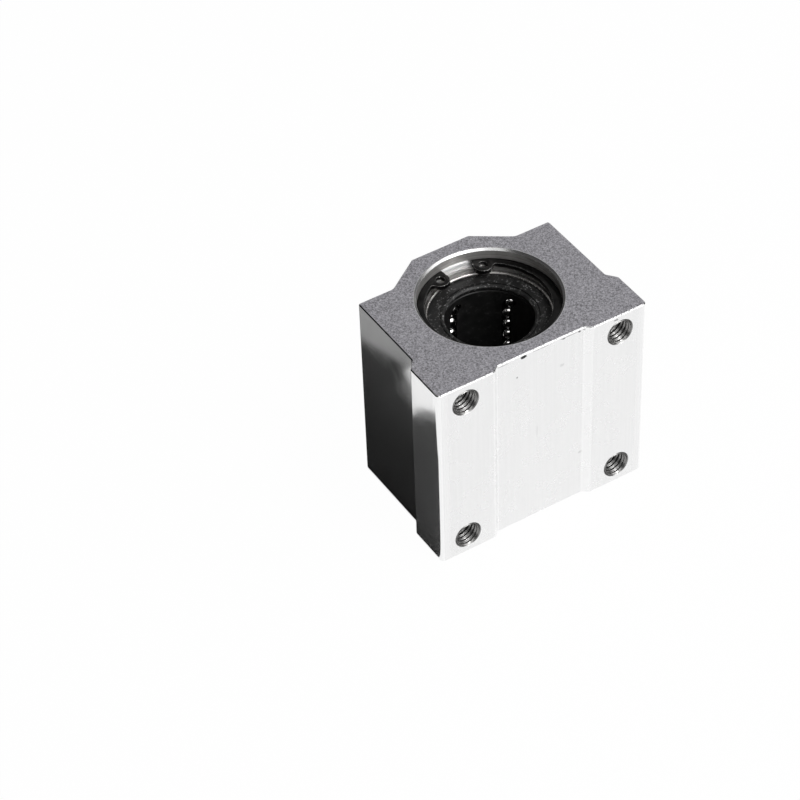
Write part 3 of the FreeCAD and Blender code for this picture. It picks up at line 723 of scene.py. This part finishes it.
rubber = {"grey": 0.011, "roughness": 0.34, "grainSizeMm": 0.25, "relief": 0.00003, "scuffs": 0.60}
nylon = {"grey": 0.006, "roughness": 0.38, "grainSizeMm": 0.35, "relief": 0.00002, "scuffs": 0.05}
moulding = {
    "oilShade": 1.8,               # patches of oil, over the material's grey
    "oilWarmth": 0.02,
    "oilRoughness": 0.16,
    "patchSizeMm": 2.0,
    # colour of the light specks: dust and painted glints
    "scuffColor": grey(0.40),
    "specular": 0.25,
}
balls = {
    "polished": (grey(0.70), grey(0.602, 0.02)),
    "metallic": 1.0,
    "roughness": 0.05,
    "oilRoughness": 0.05,
    "patchSizeMm": 1.2,
}


def makeMoulded(name, plastic):
    # moulded rubber or nylon: near black, with a fine even texture and a slight film of oil
    material, tree, shader, place = startMaterial(name, 0.0, plastic["roughness"])
    grain = useGroup(tree, grainGroup, {"Vector": place, "Size": plastic["grainSizeMm"]})
    marks = useGroup(tree, handlingGroup, {"Vector": place, "Size": moulding["patchSizeMm"]})
    color = blendColors(tree, marks["Patches"], grey(plastic["grey"]),
                        grey(plastic["grey"] * moulding["oilShade"], moulding["oilWarmth"]))
    # light specks: dust, and painted glints on facets that catch the light
    scuffs = calc(tree, "MULTIPLY", grain["Sparkle"], marks["Patches"])
    color = coat(tree, color, scuffs, {"color": moulding["scuffColor"], "share": plastic["scuffs"]})
    tree.links.new(color, shader.inputs["Base Color"])
    shader.inputs["Specular IOR Level"].default_value = moulding["specular"]
    rough = raised(tree, plastic["roughness"], marks["Patches"], moulding["oilRoughness"])
    tree.links.new(rough, shader.inputs["Roughness"])
    bump(tree, shader, grain["Height"], plastic["relief"])
    return material


def makeBallFinish():
    material, tree, shader, place = startMaterial("polishedBalls", balls["metallic"],
                                                  balls["roughness"])
    marks = useGroup(tree, handlingGroup, {"Vector": place, "Size": balls["patchSizeMm"]})
    color = blendColors(tree, marks["Patches"], *balls["polished"])
    tree.links.new(color, shader.inputs["Base Color"])
    rough = raised(tree, balls["roughness"], marks["Patches"], balls["oilRoughness"])
    tree.links.new(rough, shader.inputs["Roughness"])
    return material


dress(["upper_seal", "lower_seal"], makeMoulded("nitrileRubber", rubber))
dress(["ball_cage"], makeMoulded("blackNylon", nylon))
dress([name for name in nodes if "_balls_" in name], makeBallFinish())
print("bearing finished")


# The studio: floor, world, lamps, camera.

studio = {
    "floorHalf": 3.0,
    "floorGap": 0.00002,          # keeps the floor clear of the end face that stands on it
    "floorGrey": 0.80,
    "floorRoughness": 0.9,
    "floorGlow": 0.985,           # share of the floor's white that comes from itself
    # inside these shares the floor shows a painted shadow under the bore
    "clearFade": (1.4, 1.65),     # the glow sets in at these shares of the bore's radius
    "horizonLevel": 0.4,
    "zenithLevel": 0.05,
    "skyFade": (0.1, 0.95),       # how steeply up the horizon's level ends and the zenith's starts
    # parts of the sky that are darker: direction, fade towards it, share of the level left there
    "shades": [((-0.90, 0.43, 0.0), (0.0, 0.40), 0.25), ((0.96, -0.09, 0.27), (0.85, 0.97), 0.35)],
    "panelLevel": 0.34,           # a soft pale patch of sky that the upper end face mirrors
    "panelTowards": (0.395, 0.622, 0.675),
    "panelFade": (0.75, 0.97),
    "lamps": [
        {"name": "keyLamp", "place": (0.60, -0.47, 0.64), "size": (1.1, 0.4), "power": 3.2},
        {"name": "frontLamp", "place": (0.12, -0.70, 0.72), "size": (0.8, 0.4), "power": 2.3},
        {"name": "nearLamp", "place": (-0.42, -0.56, 0.78), "size": (0.6, 0.3), "power": 1.0},
        {"name": "highLamp", "place": (0.20, -0.50, 0.85), "size": (0.2, 0.2), "power": 4.0},
    ],
    "cardLift": 0.0006,           # height of the first card over the floor's level
    "cardStep": 0.0002,           # how much lower each next one lies
    # cards on the floor that stand in for a neighbour: the X and Y of their corners
    "cards": [
        {"name": "nearCard", "grey": 0.03,
         "corners": [(-0.0252, -0.0195), (-0.0252, 0.0900), (-0.0455, 0.0900), (-0.0472, 0.0510),
                     (-0.0500, 0.0420), (-0.0508, 0.0385), (-0.0495, 0.0338), (-0.0475, 0.0273),
                     (-0.0460, 0.0228), (-0.0472, 0.0221), (-0.0500, 0.0174), (-0.0550, 0.0095),
                     (-0.0600, 0.0020), (-0.0600, -0.0195)]},
        {"name": "edgeCard", "grey": 0.25,
         "corners": [(-0.0472, 0.0221), (-0.0489, 0.0248), (-0.0520, 0.0204), (-0.0600, 0.0085),
                     (-0.0600, 0.0020), (-0.0550, 0.0095), (-0.0500, 0.0174)]},
        {"name": "farCard", "grey": 0.43,
         "corners": [(-0.0440, 0.0370), (-0.0440, 0.1400), (-0.1400, 0.1400), (-0.1400, 0.0370)]},
    ],
    "camera": {"place": (-0.25280, -0.38760, 0.42545), "turn": (47.0339, 1.7189, -32.1853),
               "lens": 126.359, "sensor": 36.0},
}


def flatMesh(name, corners, height):
    # one level face
    mesh = bpy.data.meshes.new(name)
    mesh.from_pydata([(across, along, height) for across, along in corners], [],
                     [tuple(range(len(corners)))])
    return mesh


def makeFloor():
    # white paper that glows a little for the camera and in reflections, but not under the bore,
    # where it keeps a painted shadow, and that can't be seen from below
    half = studio["floorHalf"]
    corners = [(-half, -half), (half, -half), (half, half), (-half, half)]
    floor = addObject("floor", flatMesh("floor", corners, cadBox[0][2] - studio["floorGap"]))
    material = bpy.data.materials.new("paperFloor")
    material.use_nodes = True
    tree = material.node_tree
    paper = tree.nodes["Principled BSDF"]
    paper.inputs["Base Color"].default_value = grey(studio["floorGrey"])
    paper.inputs["Roughness"].default_value = studio["floorRoughness"]
    paper.inputs["Specular IOR Level"].default_value = 0.0
    rays = put(tree, "ShaderNodeLightPath").outputs
    seen = calc(tree, "MAXIMUM", rays["Is Camera Ray"],
                calc(tree, "MAXIMUM", rays["Is Glossy Ray"], rays["Is Transmission Ray"]))
    at = axesOf(tree, put(tree, "ShaderNodeTexCoord").outputs["Object"])
    boreRadius = mounts["shaft_bore"]["dims"]["r_mm"] * millimetre
    # no glow near the bore's axis: a painted shadow on the floor under the bore
    clear = climb(tree, axisDistance(tree, at["X"], at["Y"]),
                  [boreRadius * share for share in studio["clearFade"]])
    share = calc(tree, "MULTIPLY", calc(tree, "MULTIPLY", seen, clear), studio["floorGlow"])
    glow = put(tree, "ShaderNodeEmission", {"Color": grey(1.0), "Strength": 1.0})
    above = put(tree, "ShaderNodeMixShader", {0: share, 1: paper.outputs[0], 2: glow.outputs[0]})
    below = put(tree, "ShaderNodeBsdfTransparent")
    fromBelow = put(tree, "ShaderNodeNewGeometry").outputs["Backfacing"]
    either = put(tree, "ShaderNodeMixShader",
                 {0: fromBelow, 1: above.outputs[0], 2: below.outputs[0]})
    tree.links.new(either.outputs[0], tree.nodes["Material Output"].inputs["Surface"])
    floor.data.materials.append(material)


def alikeness(tree, direction, towards):
    # 1 where the two directions are the same, less the further they lie apart
    return put(tree, "ShaderNodeVectorMath", {0: direction, 1: towards},
               operation="DOT_PRODUCT").outputs["Value"]


def makeWorld():
    # white for the camera; for the object, pale round the horizon, darker overhead and in the
    # shades, with one pale panel
    world = bpy.data.worlds.new("studioWorld")
    bpy.context.scene.world = world
    world.use_nodes = True
    tree = world.node_tree
    direction = put(tree, "ShaderNodeTexCoord").outputs["Generated"]
    level = climb(tree, axesOf(tree, direction)["Z"], studio["skyFade"], studio["horizonLevel"],
                  studio["zenithLevel"], "SMOOTHSTEP")
    for towards, fade, left in studio["shades"]:
        kept = climb(tree, alikeness(tree, direction, towards), fade, 1.0, left)
        level = calc(tree, "MULTIPLY", level, kept)
    panel = climb(tree, alikeness(tree, direction, studio["panelTowards"]), studio["panelFade"])
    level = calc(tree, "MAXIMUM", level, calc(tree, "MULTIPLY", panel, studio["panelLevel"]))
    rays = put(tree, "ShaderNodeLightPath").outputs
    strength = calc(tree, "MAXIMUM", level, rays["Is Camera Ray"])
    background = tree.nodes["Background"]
    background.inputs["Color"].default_value = grey(1.0)
    tree.links.new(strength, background.inputs["Strength"])


def makeLamp(settings):
    # a panel that faces the object
    lamp = bpy.data.lights.new(settings["name"], "AREA")
    lamp.shape = "RECTANGLE"
    lamp.size, lamp.size_y = settings["size"]
    lamp.energy = settings["power"]
    item = addObject(settings["name"], lamp)
    item.location = settings["place"]
    item.rotation_euler = (-Vector(settings["place"])).to_track_quat("-Z", "Y").to_euler()


def makeCard(settings, lift):
    # a card just over the floor that shows only in reflections
    mesh = flatMesh(settings["name"], settings["corners"], cadBox[0][2] + lift)
    card = addObject(settings["name"], mesh)
    material = bpy.data.materials.new(settings["name"])
    material.use_nodes = True
    shader = material.node_tree.nodes["Principled BSDF"]
    shader.inputs["Base Color"].default_value = grey(settings["grey"])
    shader.inputs["Roughness"].default_value = 1.0
    card.data.materials.append(material)
    card.visible_camera = False
    card.visible_diffuse = False
    card.visible_shadow = False
    card.visible_transmission = False


def makeCamera(settings):
    data = bpy.data.cameras.new("camera")
    data.lens = settings["lens"]
    data.sensor_width = settings["sensor"]
    item = addObject("camera", data)
    item.location = settings["place"]
    item.rotation_euler = Euler([math.radians(angle) for angle in settings["turn"]], "XYZ")
    bpy.context.scene.camera = item


makeFloor()
makeWorld()
for lamp in studio["lamps"]:
    makeLamp(lamp)
for rank, card in enumerate(studio["cards"]):
    makeCard(card, studio["cardLift"] - studio["cardStep"] * rank)
makeCamera(studio["camera"])

view = bpy.context.scene.view_settings
view.view_transform = "Standard"
print("studio set")
